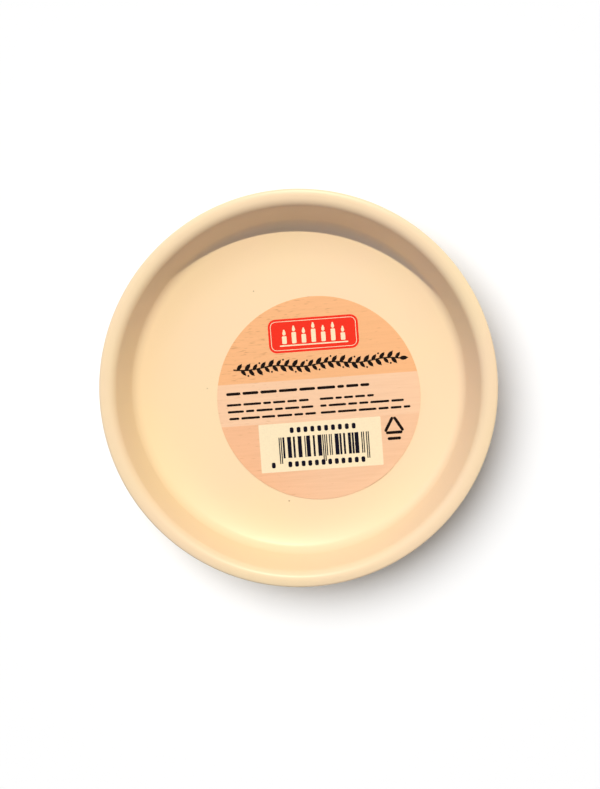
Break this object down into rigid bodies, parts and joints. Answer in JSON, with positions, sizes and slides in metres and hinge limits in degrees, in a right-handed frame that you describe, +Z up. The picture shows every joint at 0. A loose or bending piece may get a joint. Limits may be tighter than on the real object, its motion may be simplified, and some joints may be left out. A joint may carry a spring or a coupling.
{
  "type": "candle plate",
  "caption": "Round glazed ceramic candle plate with a flat floor, steep wall, rolled rim and foot ring, with a round sticker on its floor and another underneath.",
  "frame": {"origin": "middle of the level plane that the foot ring stands on, on the plate's axis", "axes": "+Z up along the plate's axis, out of the dish; +Y towards the top of the front sticker's print, which is turned 4 degrees from it; +X to the right as the sticker is read"},
  "size_m": [0.12, 0.12, 0.023],
  "materials": {
    "clay": "bare fired clay, dry and slightly rough",
    "glaze": "cream satin glaze",
    "label_film": "printed film with a satin coat",
    "base_label_film": "plain pale film with a satin coat",
    "label_adhesive": "clear pressure-sensitive adhesive"
  },
  "bodies": {
    "root": {"ceramic_body": "clay", "upper_glaze": "glaze", "base_glaze": "glaze", "front_label_film": "label_film", "front_label_adhesive": "label_adhesive", "base_label_film": "base_label_film", "base_label_adhesive": "label_adhesive"}
  },
  "joints": []
}
